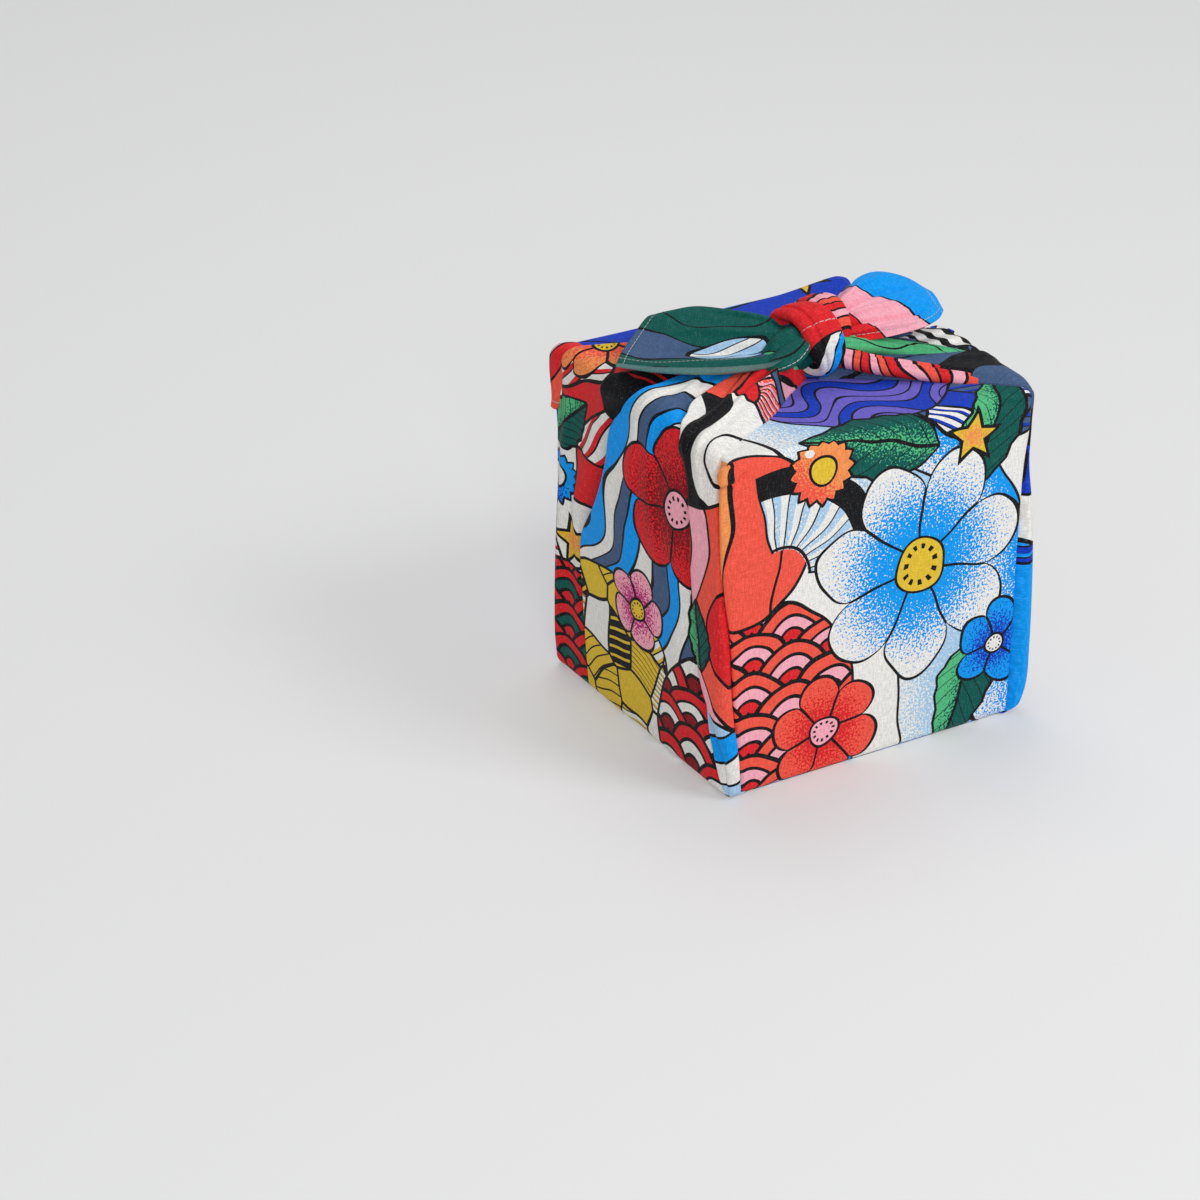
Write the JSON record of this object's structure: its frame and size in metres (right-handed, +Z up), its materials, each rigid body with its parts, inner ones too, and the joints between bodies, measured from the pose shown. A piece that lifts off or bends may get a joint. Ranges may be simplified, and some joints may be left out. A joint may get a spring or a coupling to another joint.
{
  "type": "furoshiki wrap",
  "caption": "Cube-shaped bundle wrapped in a square of boldly printed cloth, its gathered corners tied on top in a square knot with free tails.",
  "frame": {"origin": "Centre of the wrapped box's base, on the surface that the wrap rests on.", "axes": "+Z up; the smooth front panel faces -Y; the gathered sides and the knot's two tails face -X and +X."},
  "size_m": [0.2501, 0.224, 0.2882],
  "materials": {
    "printed_cloth": "crepe-textured woven cloth, bold print in many colours, soft sheen"
  },
  "bodies": {
    "root": {"furoshiki_wrap": "printed_cloth"}
  },
  "joints": []
}
